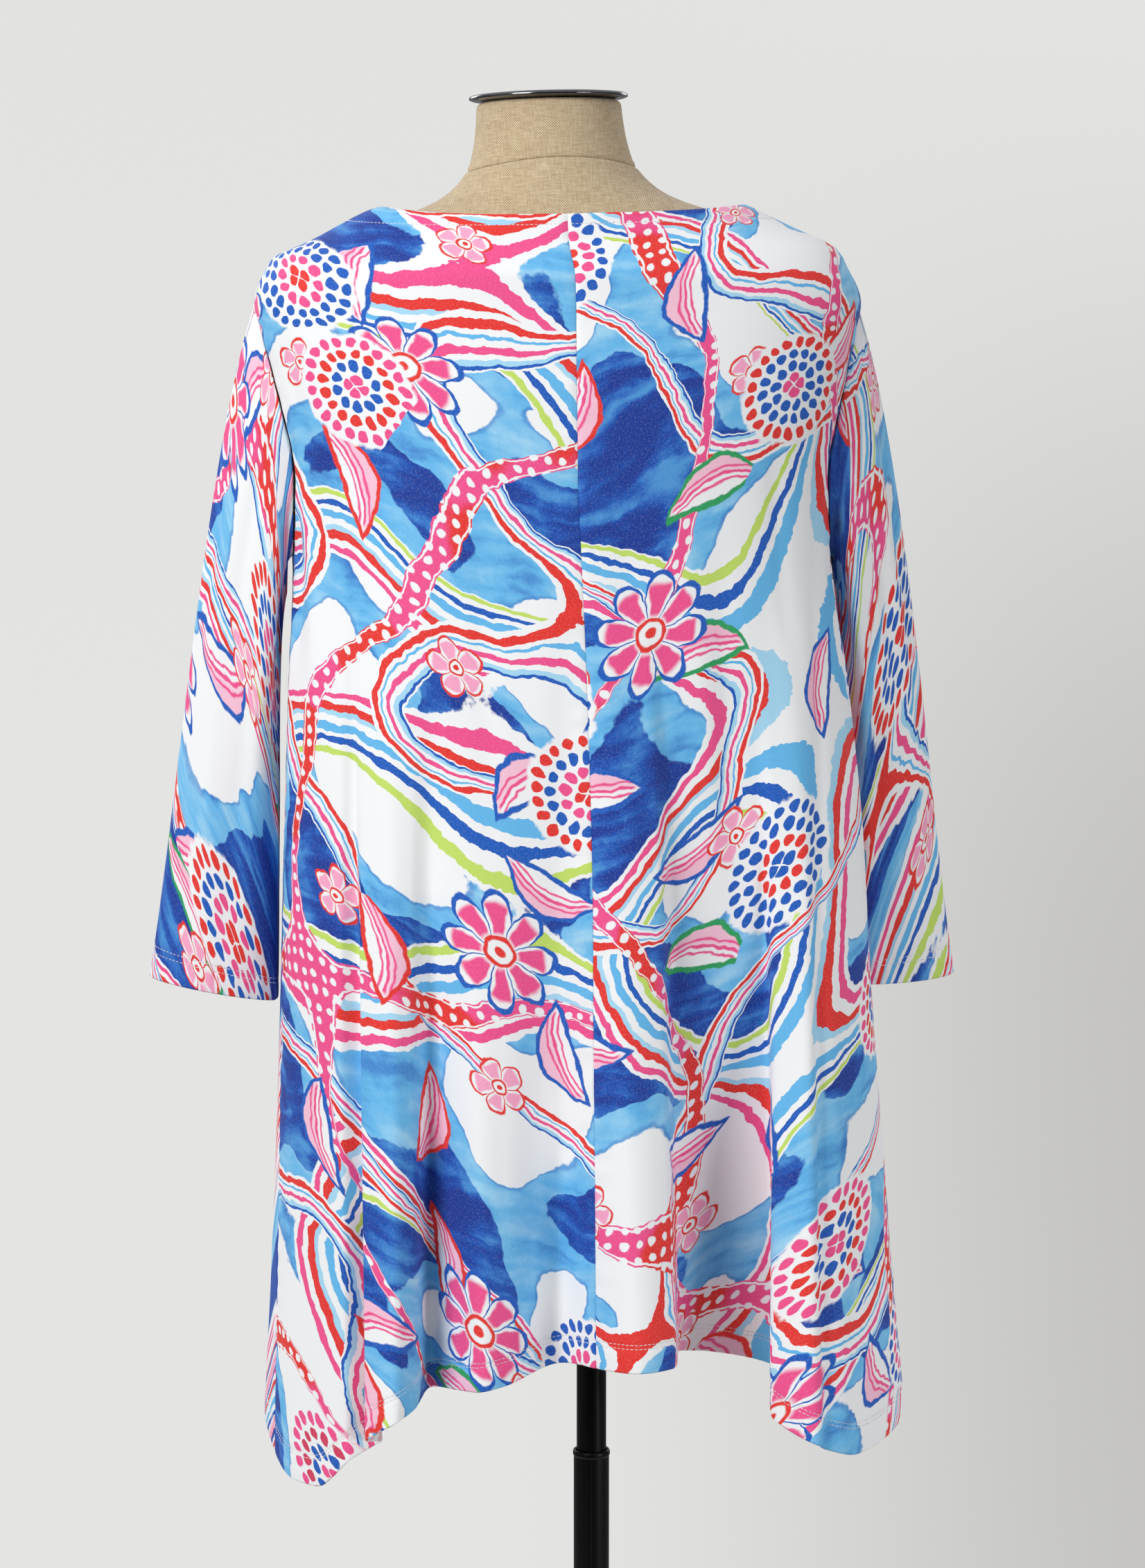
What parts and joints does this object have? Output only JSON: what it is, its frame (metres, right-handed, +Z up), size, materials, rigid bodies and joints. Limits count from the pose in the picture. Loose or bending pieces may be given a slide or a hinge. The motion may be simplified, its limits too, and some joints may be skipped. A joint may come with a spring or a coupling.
{
  "type": "tunic top on a dress form",
  "caption": "Flared jersey tunic top with three-quarter sleeves and dipped side hems, worn by a limbless linen dress form on a telescopic pole with a round base.",
  "frame": {"origin": "centre of the underside of the round base, on the pole's axis", "axes": "+Z up along the pole; -Y is the way the back of the garment faces; +X is to the right seen from behind"},
  "size_m": [0.6057, 0.3, 1.5751],
  "materials": {
    "tunic_jersey": "smooth matte double jersey with an all-over painted pattern",
    "form_linen": "coarse plain-weave linen",
    "cap_chrome": "polished",
    "black_steel": "satin black"
  },
  "bodies": {
    "stand": {"base_plate": "black_steel", "base_hub": "black_steel", "lower_tube": "black_steel"},
    "mast": {"upper_tube": "black_steel", "pole_flange": "black_steel"},
    "form": {"form_torso": "form_linen", "form_neck": "form_linen", "neck_cap": "cap_chrome", "back_left": "tunic_jersey", "back_right": "tunic_jersey", "front": "tunic_jersey", "sleeve_left": "tunic_jersey", "sleeve_right": "tunic_jersey"}
  },
  "joints": [
    {"name": "mast_slide", "type": "slide", "parent": "stand", "child": "mast", "axis": [0, 0, 1], "range_m": [-0.15, 0.15]},
    {"name": "form_turn", "type": "hinge", "parent": "mast", "child": "form", "pos_m": [0, 0, 0.8295], "axis": [0, 0, 1], "continuous": true}
  ]
}
